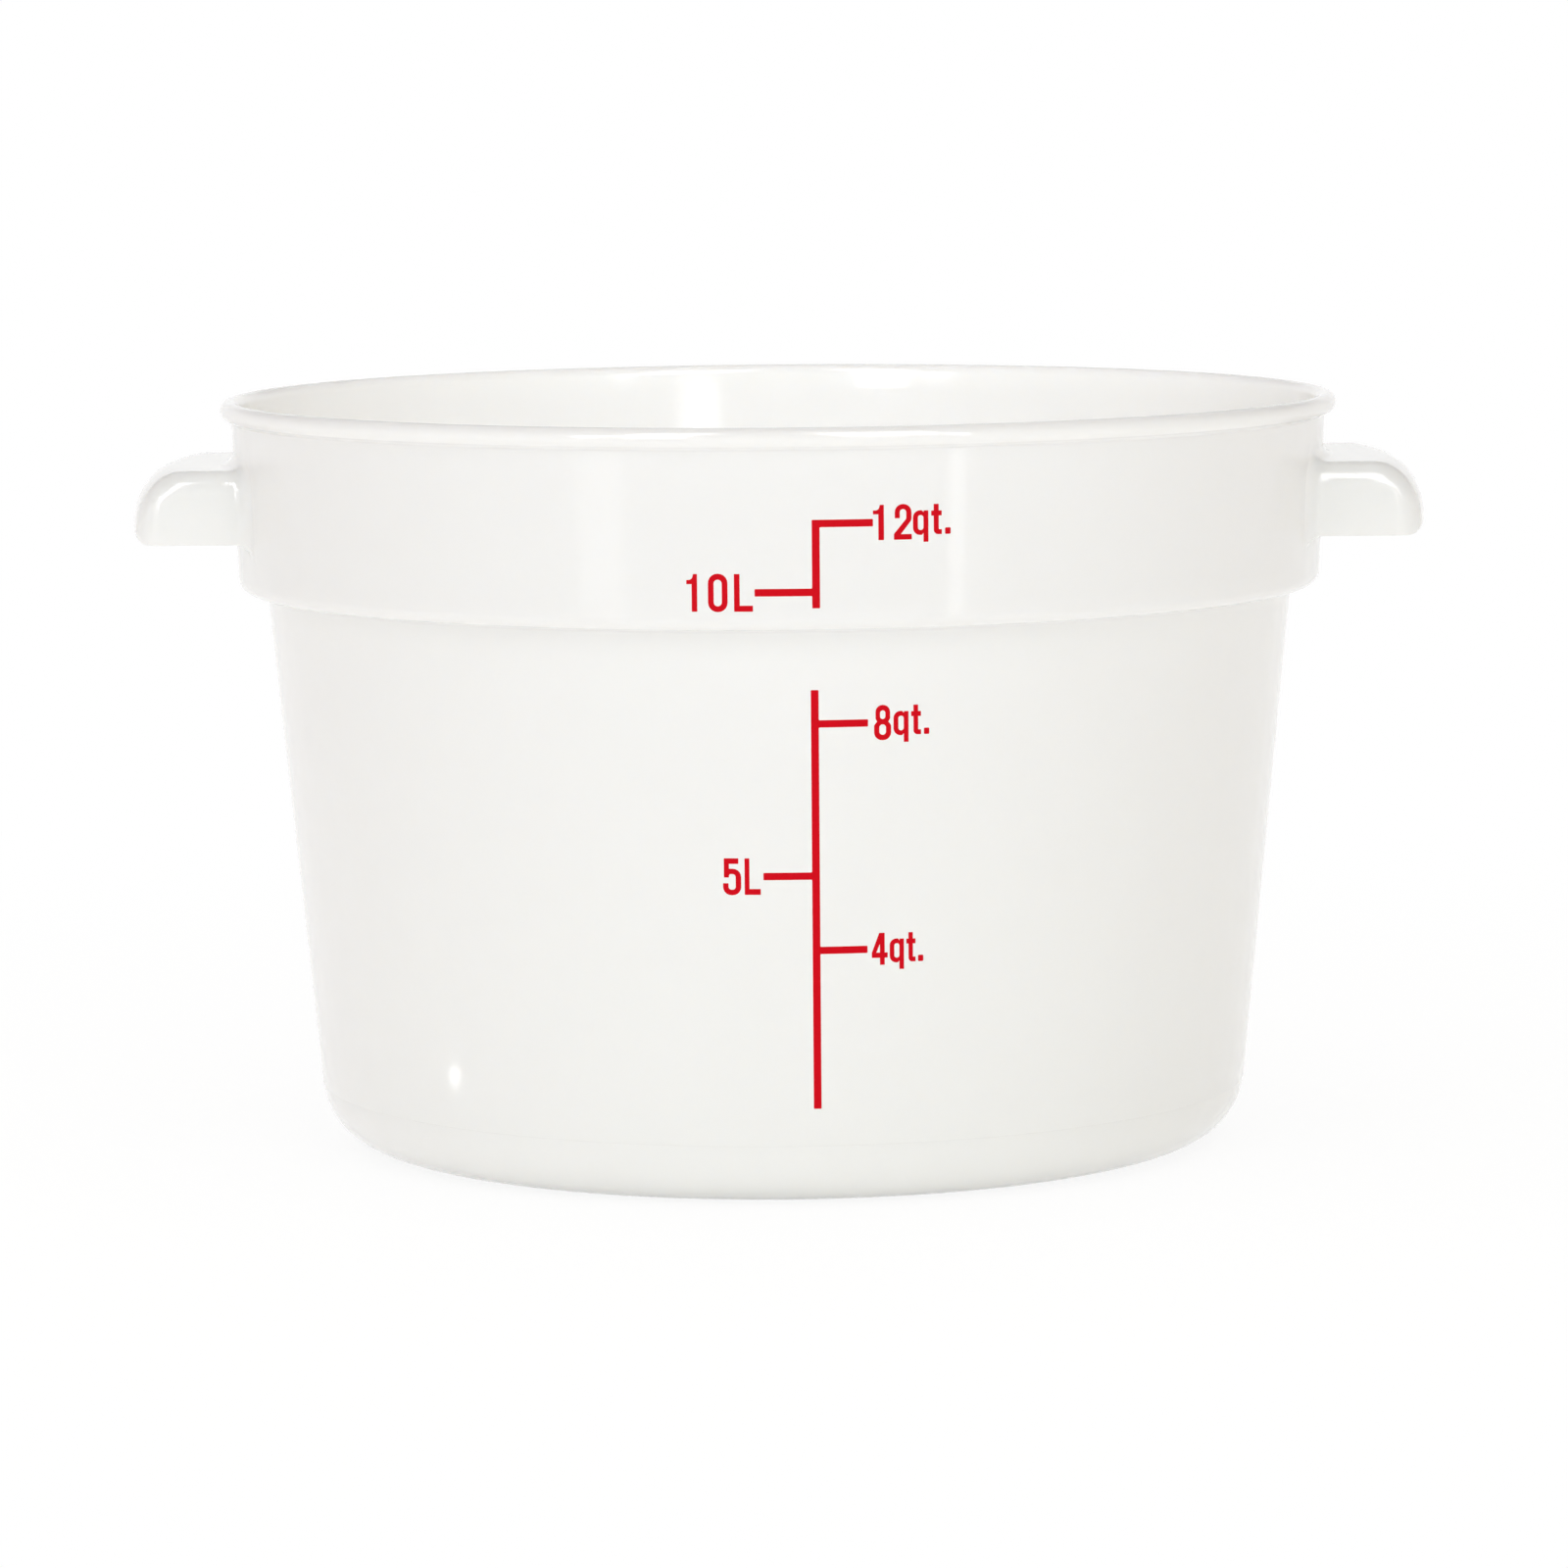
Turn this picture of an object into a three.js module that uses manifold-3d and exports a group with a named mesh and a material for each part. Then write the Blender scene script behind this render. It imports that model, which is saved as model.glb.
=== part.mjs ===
// A round food storage tub: a tapered body, a wider upright collar on a stacking shoulder,
// a solid rim bead and two hollow grips, moulded in one piece of translucent polypropylene.
// A volume scale in red ink is screen-printed on the front.
// Millimetres, +Z up. The origin is on the tub's axis, on the plane that it stands on.
// The grips point along +X and -X, and the scale faces -Y.

import * as THREE from "three";
import { mergeVertices } from "three/addons/utils/BufferGeometryUtils.js";
import Module from "manifold-3d";

const wasm = await Module();
wasm.setup();

const radians = THREE.MathUtils.degToRad;

// Overall sizes
const rimDiameter = 319;
const height = 214;
const collarHeight = 54.4;

// Walls of the moulding and their draft
const wall = 2.3;
const floor = 2.5;
const bodyDraft = radians(5.5);
const collarDraft = radians(1.8);

// Rim bead: it stands out over the collar and is flush with the wall inside
const beadOverhang = 3.15;
const beadRootAngle = radians(-72);
const beadRootDrop = 0.8;

// Stacking shoulder between the collar and the body
const shoulderStep = 8;
const shoulderCorner = 3.8;
const shoulderFillet = 1.5;

// Base: a large corner, a mould parting step above it, a foot ring and a gate mark inside the ring
const baseCorner = 19;
const partingStep = 0.2;
const partingRise = 0.4;
const footWidth = 14;
const footDepth = 1;
const gateRadius = 4;
const gateHeight = 0.5;

// Grips: hollow and open below, with a rounded nose and filleted edges
const gripDrop = 18.1;
const gripHeight = 20.6;
const gripWidth = 92;
const gripReach = 29;
const gripWall = 2.4;
const gripEdge = 6;
const gripNoseLength = 13;
const gripNoseHeight = 16.5;
const gripHeel = 3.2;
const gripRoot = 4;
const gripBow = 250;
const gripSink = 0.4;
const gripAnchor = 8;

// Printed scale: the top mark is the fill line, and the other marks divide the volume under it
const quart = 0.946353;
const nominalLitres = 12 * quart;
const fillLineDrop = 25.6;
const inkThickness = 0.15;
const inkClearance = 0.1;
const lineWidth = 2.1;
const tickWidth = 2;
const upperLineX = 9.8;
const upperLineTail = 4.3;
const lowerLineX = 9.25;
const lowerLineHead = 9.2;
const lowerLineFoot = 28;
const upperMarks = [
  { litres: nominalLitres, side: 1, tick: 14.2 },
  { litres: 10, side: -1, tick: 15.3 },
];
const lowerMarks = [
  { litres: 8 * quart, side: 1, tick: 13.2 },
  { litres: 5, side: -1, tick: 13.1 },
  { litres: 4 * quart, side: 1, tick: 12.7 },
];

// Fineness of the curved faces
const turnSegments = 72;
const chordTolerance = 0.1;
const rootSteps = 4;
const noseSteps = 6;
const edgeSteps = 4;
const noseEdgeShare = 0.6;
const spanSteps = 6;
const levelTolerance = 0.001;

// Sizes that follow
const rimRadius = rimDiameter / 2;
const beadRadius = (beadOverhang + wall) / 2;
const beadHeight = height - beadRadius;
const collarTopRadius = rimRadius - beadOverhang;
const shoulderHeight = height - collarHeight;
const gripTop = height - gripDrop;
const gripBottom = gripTop - gripHeight;
const bodyTopRadius = collarRadius(shoulderHeight, 0) - shoulderStep;
const baseTangent = baseCorner * Math.tan((Math.PI / 2 - bodyDraft) / 2);
const partingHeight = baseTangent * Math.cos(bodyDraft) + partingRise;
const footInnerRadius = bodyRadius(0, 0) - baseTangent - footWidth;

// Radius of the collar and of the body at a height, on a face parallel to the outside
function collarRadius(z, offset) {
  return collarTopRadius - (beadHeight - z) * Math.tan(collarDraft) + offset / Math.cos(collarDraft);
}

function bodyRadius(z, offset) {
  return bodyTopRadius - (shoulderHeight - z) * Math.tan(bodyDraft) + offset / Math.cos(bodyDraft);
}

// Profiles

function corner(r, z, round = 0) {
  return { at: new THREE.Vector2(r, z), round };
}

function arc(centreR, centreZ, radius, from, to) {
  const stepAngle = 2 * Math.acos(1 - chordTolerance / radius);
  const steps = Math.max(2, Math.ceil(Math.abs(to - from) / stepAngle));
  return Array.from({ length: steps + 1 }, (_, i) => {
    const angle = from + ((to - from) * i) / steps;
    return new THREE.Vector2(centreR + radius * Math.cos(angle), centreZ + radius * Math.sin(angle));
  });
}

// A corner's rounding: an arc that touches the lines to both neighbours
function roundedCorner(before, point, after, radius) {
  const back = before.clone().sub(point).normalize();
  const ahead = after.clone().sub(point).normalize();
  const half = Math.acos(back.dot(ahead)) / 2;
  const centre = back.clone().add(ahead).setLength(radius / Math.sin(half)).add(point);
  const first = back.multiplyScalar(radius / Math.tan(half)).add(point).sub(centre);
  const turn = (Math.PI - 2 * half) * Math.sign(first.cross(ahead));
  return arc(centre.x, centre.y, radius, first.angle(), first.angle() + turn);
}

function profile(corners) {
  return corners.flatMap(({ at, round }, i) =>
    round > 0 ? roundedCorner(corners[i - 1].at, at, corners[i + 1].at, round) : [at],
  );
}

// Corners of a face parallel to the outside, from the base up to the shoulder's outer edge
function wallCorners(offset, bottom) {
  const ledge = shoulderHeight - offset;
  return [
    corner(bodyRadius(bottom, offset), bottom, baseCorner + offset),
    corner(bodyRadius(ledge, offset), ledge, shoulderFillet - offset),
    corner(collarRadius(ledge, offset), ledge, shoulderCorner + offset),
  ];
}

// The bead's round, from its root under the rim over its outermost and topmost points to the inside
function beadProfile() {
  const quarter = (from, to) => arc(rimRadius - beadRadius, beadHeight, beadRadius, from, to).slice(0, -1);
  return [
    ...quarter(beadRootAngle, 0),
    ...quarter(0, Math.PI / 2),
    ...quarter(Math.PI / 2, Math.PI),
  ];
}

function outerProfile() {
  const [, ...shoulder] = wallCorners(0, 0);
  const beadUnderside = beadHeight + beadRadius * Math.sin(beadRootAngle);
  const rootHeight = beadUnderside - beadRootDrop;
  const underBead = profile([
    corner(0, footDepth - gateHeight),
    corner(gateRadius, footDepth - gateHeight),
    corner(gateRadius, footDepth),
    corner(footInnerRadius, footDepth),
    corner(footInnerRadius + footDepth, 0),
    wallCorners(-partingStep, 0)[0],
    corner(bodyRadius(partingHeight, -partingStep), partingHeight),
    corner(bodyRadius(partingHeight, 0), partingHeight),
    ...shoulder,
    corner(collarRadius(rootHeight, 0), rootHeight),
  ]);
  return [...underBead, ...beadProfile()];
}

function innerProfile() {
  return profile([
    corner(0, floor + footDepth),
    corner(footInnerRadius, floor + footDepth),
    corner(footInnerRadius + footDepth, floor),
    ...wallCorners(-wall, floor),
    corner(rimRadius - 2 * beadRadius, beadHeight),
  ]);
}

// A face parallel to the outside, closed on the axis above and below, to cut the ink film from
function filmProfile(lift) {
  return profile([
    corner(0, -lift),
    ...wallCorners(lift, -lift),
    corner(collarRadius(beadHeight, lift), beadHeight),
    corner(0, beadHeight),
  ]);
}

// Solids

function revolve(points) {
  return new THREE.LatheGeometry(points, turnSegments).rotateX(Math.PI / 2);
}

function solid(geometry) {
  const bare = geometry.clone();
  bare.deleteAttribute("normal");
  bare.deleteAttribute("uv");
  const merged = mergeVertices(bare);
  const corners = merged.index.array;
  const triangles = [];
  for (let i = 0; i < corners.length; i += 3) {
    const [a, b, c] = corners.slice(i, i + 3);
    if (a !== b && b !== c && c !== a) triangles.push(a, b, c);
  }
  return new wasm.Manifold(
    new wasm.Mesh({
      numProp: 3,
      vertProperties: merged.attributes.position.array,
      triVerts: new Uint32Array(triangles),
    }),
  );
}

function geometryOf(body) {
  const { vertProperties, triVerts } = body.getMesh();
  const geometry = new THREE.BufferGeometry();
  geometry.setAttribute("position", new THREE.BufferAttribute(vertProperties, 3));
  geometry.setIndex(new THREE.BufferAttribute(triVerts, 1));
  geometry.computeVertexNormals();
  return geometry;
}

// A closed skin over rings of equal length, with a flat cap on the first and the last
function loft(rings) {
  const count = rings[0].length;
  const positions = rings.flat().flatMap((point) => point.toArray());
  const triangles = [];
  for (let ring = 0; ring < rings.length - 1; ring++) {
    for (let i = 0; i < count; i++) {
      const next = (i + 1) % count;
      const [a, b] = [ring * count + i, ring * count + next];
      triangles.push(a, b, a + count, b, b + count, a + count);
    }
  }
  const flatten = (ring) => ring.map(({ y, z }) => new THREE.Vector2(y, z));
  const capOf = (ring) => THREE.ShapeUtils.triangulateShape(flatten(ring), []);
  const last = (rings.length - 1) * count;
  capOf(rings[0]).forEach(([a, b, c]) => triangles.push(a, c, b));
  capOf(rings.at(-1)).forEach(([a, b, c]) => triangles.push(last + a, last + b, last + c));
  const geometry = new THREE.BufferGeometry();
  geometry.setAttribute("position", new THREE.Float32BufferAttribute(positions, 3));
  geometry.setIndex(triangles);
  return geometry;
}

// Grips

// Where a point of the grip lies: its root follows the collar, and its nose is bowed less
function gripPoint(out, y, z) {
  const share = THREE.MathUtils.clamp(out / gripReach, 0, 1);
  const onCollar = Math.sqrt(collarRadius(z, 0) ** 2 - y ** 2);
  const onNose = collarRadius(gripBottom, 0) - y ** 2 / (2 * gripBow);
  return new THREE.Vector3(THREE.MathUtils.lerp(onCollar, onNose, share) + out, y, z);
}

// One arch of the grip: upright sides, rounded upper edges and a flat underside
function gripRing({ out, half, top, bottom, edge }) {
  const round = Math.min(edge, noseEdgeShare * (top - bottom));
  const flat = half - round;
  const level = Array.from({ length: spanSteps - 1 }, (_, i) => (2 * (i + 1)) / spanSteps - 1);
  const edgeArc = (side, from, to) =>
    Array.from({ length: edgeSteps + 1 }, (_, i) => {
      const angle = THREE.MathUtils.lerp(from, to, i / edgeSteps);
      return [side * flat + round * Math.cos(angle), top - round + round * Math.sin(angle)];
    });
  const outline = [
    [half, bottom],
    ...edgeArc(1, 0, Math.PI / 2),
    ...level.map((share) => [-share * flat, top]),
    ...edgeArc(-1, Math.PI / 2, Math.PI),
    [-half, bottom],
    ...level.map((share) => [share * half, bottom]),
  ];
  return outline.map(([y, z]) => gripPoint(out, y, z));
}

// How far a quarter round falls away, at a distance past its start
function fallAway(distance, radius) {
  const past = THREE.MathUtils.clamp(distance, 0, radius);
  return radius - Math.sqrt(radius ** 2 - past ** 2);
}

// Rings of the grip's outside, or of its hollow, which lies a wall inside and runs out below
function gripRings(inset) {
  const hollow = inset > 0;
  const half = gripWidth / 2 - inset;
  const top = gripTop - inset;
  const reach = gripReach - inset;
  const edge = gripEdge - inset;
  const bottom = hollow ? gripBottom - gripHeight : gripBottom;
  const heel = hollow ? 0 : gripHeel;
  const flare = hollow ? 0 : gripRoot;
  const root = (out, spread) => ({
    out,
    half: half + spread,
    top: top + spread,
    bottom: bottom - spread,
    edge: edge + spread,
  });
  const rings = [root(-gripAnchor, flare)];
  for (let i = 0; i <= rootSteps; i++) {
    const angle = (i / rootSteps) * (Math.PI / 2);
    rings.push(root(gripRoot * (1 - Math.cos(angle)) - gripSink, flare * (1 - Math.sin(angle))));
  }
  const noseLength = gripNoseLength - inset;
  const noseHeight = gripNoseHeight - inset;
  for (let i = 0; i <= noseSteps; i++) {
    const angle = (i / noseSteps) * (Math.PI / 2);
    const out = reach - noseLength * (1 - Math.sin(angle));
    rings.push({
      out,
      half: half - fallAway(out - (reach - edge), edge),
      top: top - noseHeight * (1 - Math.cos(angle)),
      bottom: bottom + fallAway(out - (reach - heel), heel),
      edge,
    });
  }
  return rings.map(gripRing);
}

function grip(turn, inside) {
  const outer = solid(loft(gripRings(0)).rotateZ(turn));
  const hollow = solid(loft(gripRings(gripWall)).rotateZ(turn));
  return outer.subtract(hollow).subtract(inside);
}

function tub() {
  const inner = innerProfile();
  const shell = solid(revolve([...outerProfile(), ...inner.toReversed()]));
  const inside = solid(revolve([...inner, new THREE.Vector2(0, beadHeight)]));
  return shell.add(grip(0, inside)).add(grip(Math.PI, inside));
}

// Printed scale

// Volume inside the tub up to a height, summed over the slices between the profile's points
function volumeBelow(level, inner) {
  let volume = 0;
  for (let i = 1; i < inner.length; i++) {
    const [low, high] = [inner[i - 1], inner[i]];
    const part = high.y > level ? Math.max(0, (level - low.y) / (high.y - low.y)) : 1;
    const topRadius = THREE.MathUtils.lerp(low.x, high.x, part);
    const slice = (low.x ** 2 + low.x * topRadius + topRadius ** 2) / 3;
    volume += Math.PI * slice * (high.y - low.y) * part;
  }
  return volume;
}

function levelOf(litres) {
  const inner = innerProfile();
  const wanted = (volumeBelow(height - fillLineDrop, inner) * litres) / nominalLitres;
  let [low, high] = [floor + footDepth, beadHeight];
  while (high - low > levelTolerance) {
    const middle = (low + high) / 2;
    if (volumeBelow(middle, inner) < wanted) low = middle;
    else high = middle;
  }
  return low;
}

// A bar of the artwork, deep enough to pass through the front wall
function bar(left, right, low, high) {
  const box = new THREE.BoxGeometry(right - left, rimRadius, high - low);
  return solid(box.translate((left + right) / 2, -rimRadius / 2, (low + high) / 2));
}

function scalePrint(lineX, low, high, marks) {
  const half = lineWidth / 2;
  let artwork = bar(lineX - half, lineX + half, low, high);
  for (const { litres, side, tick } of marks) {
    const level = levelOf(litres);
    const ends = [lineX, lineX + side * (half + tick)].sort((a, b) => a - b);
    artwork = artwork.add(bar(...ends, level - tickWidth / 2, level + tickWidth / 2));
  }
  const under = solid(revolve(filmProfile(inkClearance)));
  const over = solid(revolve(filmProfile(inkClearance + inkThickness)));
  return over.subtract(under).intersect(artwork);
}

function upperScalePrint() {
  const [fill, ten] = upperMarks.map(({ litres }) => levelOf(litres));
  return scalePrint(upperLineX, ten - upperLineTail, fill + tickWidth / 2, upperMarks);
}

function lowerScalePrint() {
  const eight = levelOf(lowerMarks[0].litres);
  return scalePrint(lowerLineX, lowerLineFoot, eight + lowerLineHead, lowerMarks);
}

// The object

const polypropylene = { color: "#eceae5", roughness: 0.38, metalness: 0 };
const redInk = { color: "#d80923", roughness: 0.5, metalness: 0 };

function piece(name, body, finish) {
  const mesh = new THREE.Mesh(geometryOf(body), new THREE.MeshStandardMaterial(finish));
  mesh.name = name;
  return mesh;
}

const group = new THREE.Group();
group.add(piece("tub", tub(), polypropylene));
group.add(piece("upper_scale_print", upperScalePrint(), redInk));
group.add(piece("lower_scale_print", lowerScalePrint(), redInk));

export default group;
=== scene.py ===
# %% [markdown]
# # A round food storage tub
# A catering tub for 12 quarts of food: one moulding of milky polypropylene, with a tapered body, a wider
# collar on a stacking shoulder, a beaded rim and two hollow grips. A volume scale in red ink is printed on
# its front.
#
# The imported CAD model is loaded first. It is faceted, so the visible pieces are made again here with finer
# curves, from the same sizes and in the same frame: metres, +Z up, grips along X, scale facing -Y.

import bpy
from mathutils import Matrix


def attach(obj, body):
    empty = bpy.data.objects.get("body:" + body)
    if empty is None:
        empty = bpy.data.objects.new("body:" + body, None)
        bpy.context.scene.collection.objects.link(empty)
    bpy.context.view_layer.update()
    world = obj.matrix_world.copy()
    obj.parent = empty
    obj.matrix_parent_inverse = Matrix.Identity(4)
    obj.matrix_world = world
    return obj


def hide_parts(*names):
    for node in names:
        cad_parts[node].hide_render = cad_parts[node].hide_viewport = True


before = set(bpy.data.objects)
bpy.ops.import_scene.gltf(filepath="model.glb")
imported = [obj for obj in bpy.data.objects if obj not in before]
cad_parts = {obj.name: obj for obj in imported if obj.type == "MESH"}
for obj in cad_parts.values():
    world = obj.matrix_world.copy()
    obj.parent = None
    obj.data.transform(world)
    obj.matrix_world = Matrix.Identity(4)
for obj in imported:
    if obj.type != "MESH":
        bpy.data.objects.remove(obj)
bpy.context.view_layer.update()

from math import atan, cos, pi, radians, sin, sqrt, tan

import bmesh
import bpy
from mathutils import Matrix, Vector

print("CAD nodes:", sorted(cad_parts))

# %% [markdown]
# ## The wall's sizes
# A moulded tub is a cone with a few rules. The draft lets it leave the mould, and the collar stands out over
# the body so that tubs can nest without jamming. All faces are parallel to the outside at some depth, so two
# functions give every radius.

# %% Sizes of the wall
MM = 0.001

rim_radius = 159.5 * MM
height = 214 * MM
wall = 2.3 * MM
floor_depth = 2.5 * MM
body_draft = radians(5.5)
collar_draft = radians(1.8)
bead_overhang = 3.15 * MM
bead_root_angle = radians(-72)
bead_root_drop = 0.8 * MM
shoulder_step = 8 * MM
shoulder_corner = 3.8 * MM
shoulder_fillet = 1.5 * MM
shoulder_height = height - 54.4 * MM
base_corner = 19 * MM

bead_radius = (bead_overhang + wall) / 2
bead_height = height - bead_radius
collar_top_radius = rim_radius - bead_overhang


def collar_radius(z, depth=0):
    return collar_top_radius - (bead_height - z) * tan(collar_draft) - depth / cos(collar_draft)


body_top_radius = collar_radius(shoulder_height) - shoulder_step


def body_radius(z, depth=0):
    return body_top_radius - (shoulder_height - z) * tan(body_draft) - depth / cos(body_draft)


print(f"collar {2 * collar_radius(shoulder_height) / MM:.1f} mm across at the shoulder")
print(f"body {2 * body_radius(0) / MM:.1f} mm across at the base")

# %% [markdown]
# ## Nodes from the script
# Materials and geometry are both node trees. One small function adds a node, sets its properties and fills
# its sockets: another node's socket is linked, and anything else becomes the socket's own value. A second
# function turns an sRGB hex colour into the linear numbers that shaders work with.

# %% Node and colour helpers
def add_node(tree, kind, sockets=None, **settings):
    node = tree.nodes.new(kind)
    for name, value in settings.items():
        setattr(node, name, value)
    for socket, value in (sockets or {}).items():
        if isinstance(value, bpy.types.NodeSocket):
            tree.links.new(value, node.inputs[socket])
        else:
            node.inputs[socket].default_value = value
    return node


def linear(hex_colour):
    shares = [int(hex_colour[i:i + 2], 16) / 255 for i in (1, 3, 5)]
    return [s / 12.92 if s <= 0.04045 else ((s + 0.055) / 1.055) ** 2.4 for s in shares] + [1.0]


def new_material(name):
    material = bpy.data.materials.new(name)
    material.use_nodes = True
    material.node_tree.nodes.clear()
    return material, material.node_tree


print("red #d00820 is", [round(part, 3) for part in linear("#d00820")], "to a shader")

# %% [markdown]
# ## Polypropylene, injection moulded
# Unpigmented polypropylene is milky, because its crystals scatter light. A wall 2 mm thick lets light through
# but shows nothing behind it. The polished steel mould leaves a smooth, glossy skin, on which the rim and the
# grips catch sharp highlights. A glass shader would let the inside show, so this is a plain Principled shader
# with subsurface scattering a few millimetres deep. Faint clouds come from how the melt cooled, and a very
# shallow ripple from how the skin shrank.

# %% Polypropylene
polypropylene, tree = new_material("Moulded polypropylene")
place = add_node(tree, "ShaderNodeTexCoord").outputs["Object"]
cloud_size = 45 * MM
ripple_size = 2.6 * MM
clouds = add_node(tree, "ShaderNodeTexNoise", {
    "Vector": place, "Scale": 1 / cloud_size, "Detail": 3.0, "Roughness": 0.55,
})
milk = add_node(tree, "ShaderNodeMix", {
    0: clouds.outputs["Fac"], 6: linear("#f6f7f4"), 7: linear("#fafbf8"),
}, data_type="RGBA")
polish = add_node(tree, "ShaderNodeMapRange", {"Value": clouds.outputs["Fac"], "To Min": 0.06, "To Max": 0.11})
ripple = add_node(tree, "ShaderNodeTexNoise", {"Vector": place, "Scale": 1 / ripple_size, "Detail": 2.0})
skin = add_node(tree, "ShaderNodeBump", {
    "Height": ripple.outputs["Fac"], "Strength": 0.06, "Distance": 0.05 * MM,
})
shader = add_node(tree, "ShaderNodeBsdfPrincipled", {
    "Base Color": milk.outputs[2],
    "Roughness": polish.outputs["Result"],
    "Normal": skin.outputs["Normal"],
    "IOR": 1.49,
    "Subsurface Weight": 1.0,
    "Subsurface Radius": (1.0, 0.96, 0.9),
    "Subsurface Scale": 7 * MM,
})
add_node(tree, "ShaderNodeOutputMaterial", {"Surface": shader.outputs["BSDF"]})
print("material:", polypropylene.name)

# %% [markdown]
# ## Red ink, screen printed
# The scale is pushed through a mesh screen on to the finished tub. The film is thin and opaque and dries
# matte, so its red stays deep, and it is slightly uneven where the mesh let more or less ink through. A low
# specular level keeps the white room from washing the red out.

# %% Red ink
red_ink, tree = new_material("Screen printed red ink")
place = add_node(tree, "ShaderNodeTexCoord").outputs["Object"]
mesh_size = 0.9 * MM
mottle = add_node(tree, "ShaderNodeTexNoise", {"Vector": place, "Scale": 1 / mesh_size, "Detail": 2.0})
pigment = add_node(tree, "ShaderNodeMix", {
    0: mottle.outputs["Fac"], 6: linear("#cb0316"), 7: linear("#d7051b"),
}, data_type="RGBA")
tooth = add_node(tree, "ShaderNodeBump", {
    "Height": mottle.outputs["Fac"], "Strength": 0.1, "Distance": 0.02 * MM,
})
matte = add_node(tree, "ShaderNodeMapRange", {"Value": mottle.outputs["Fac"], "To Min": 0.42, "To Max": 0.55})
shader = add_node(tree, "ShaderNodeBsdfPrincipled", {
    "Base Color": pigment.outputs[2],
    "Roughness": matte.outputs["Result"],
    "Normal": tooth.outputs["Normal"],
    "IOR": 1.5,
    "Specular IOR Level": 0.05,
})
add_node(tree, "ShaderNodeOutputMaterial", {"Surface": shader.outputs["BSDF"]})
print("material:", red_ink.name)

# %% [markdown]
# ## The wall's section
# A moulding's section can be drawn as a few corners, each with a rounding. The list below runs from the axis
# under the base, up the outside, over the bead and down the inside. A corner is a radius, a height, a rounding
# and the number of steps in that rounding. The last two are kept as attributes of a vertex, and Geometry Nodes
# does the rounding.

# %% Corners of the section
parting_step = 0.2 * MM
parting_rise = 0.4 * MM
parting_round = 0.1 * MM
foot_width = 14 * MM
foot_depth = 1 * MM
foot_round = 0.4 * MM
floor_round = 1 * MM
gate_radius = 4 * MM
gate_height = 0.5 * MM
gate_round = 0.2 * MM
bead_root_round = 0.5 * MM
base_tangent = base_corner * tan((pi / 2 - body_draft) / 2)
parting_height = base_tangent * cos(body_draft) + parting_rise
foot_inner_radius = body_radius(0) - base_tangent - foot_width


def wall_corners(depth, bottom):
    ledge = shoulder_height + depth
    return [
        (body_radius(bottom, depth), bottom, base_corner - depth, 18),
        (body_radius(ledge, depth), ledge, shoulder_fillet + depth, 8),
        (collar_radius(ledge, depth), ledge, shoulder_corner - depth, 10),
    ]


def bead_corners():
    centre = rim_radius - bead_radius
    underside = bead_height + bead_radius * sin(bead_root_angle)
    root = underside - bead_root_drop
    return [
        (collar_radius(root), root, bead_root_round, 4),
        (centre + bead_radius * cos(bead_root_angle), underside, 0, 1),
        (rim_radius, bead_height + bead_radius * tan(bead_root_angle / 2), bead_radius, 8),
        (rim_radius, height, bead_radius, 8),
        (rim_radius - 2 * bead_radius, height, bead_radius, 8),
    ]


outside = [
    (0, foot_depth - gate_height, 0, 1),
    (gate_radius, foot_depth - gate_height, gate_round, 3),
    (gate_radius, foot_depth, gate_round, 3),
    (foot_inner_radius, foot_depth, foot_round, 4),
    (foot_inner_radius + foot_depth, 0, foot_round, 4),
    wall_corners(parting_step, 0)[0],
    (body_radius(parting_height, parting_step), parting_height, 0, 1),
    (body_radius(parting_height), parting_height, parting_round, 2),
    *wall_corners(0, 0)[1:],
    *bead_corners(),
]
inside = [
    (0, floor_depth + foot_depth, 0, 1),
    (foot_inner_radius, floor_depth + foot_depth, floor_round, 4),
    (foot_inner_radius + foot_depth, floor_depth, floor_round, 4),
    *wall_corners(wall, floor_depth),
]
section = outside + inside[::-1]
print(f"section: {len(section)} corners, {sum(1 for corner in section if corner[2])} of them rounded")

# %% [markdown]
# ## Turning the section
# The tub's shell follows one rule, so a Geometry Nodes tree makes it. The corner line becomes a curve, Fillet
# Curve rounds its corners, Subdivide Curve puts rings on the long straight walls, and Curve to Mesh sweeps
# the section round a circle. Merging by distance closes the two poles on the axis.

# %% Geometry Nodes: turned section
def new_tree(name, **inputs):
    tree = bpy.data.node_groups.new(name, "GeometryNodeTree")
    tree.interface.new_socket("Geometry", in_out="INPUT", socket_type="NodeSocketGeometry")
    for label, kind in inputs.items():
        tree.interface.new_socket(label.replace("_", " "), in_out="INPUT", socket_type="NodeSocket" + kind)
    tree.interface.new_socket("Geometry", in_out="OUTPUT", socket_type="NodeSocketGeometry")
    return tree, add_node(tree, "NodeGroupInput").outputs


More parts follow.
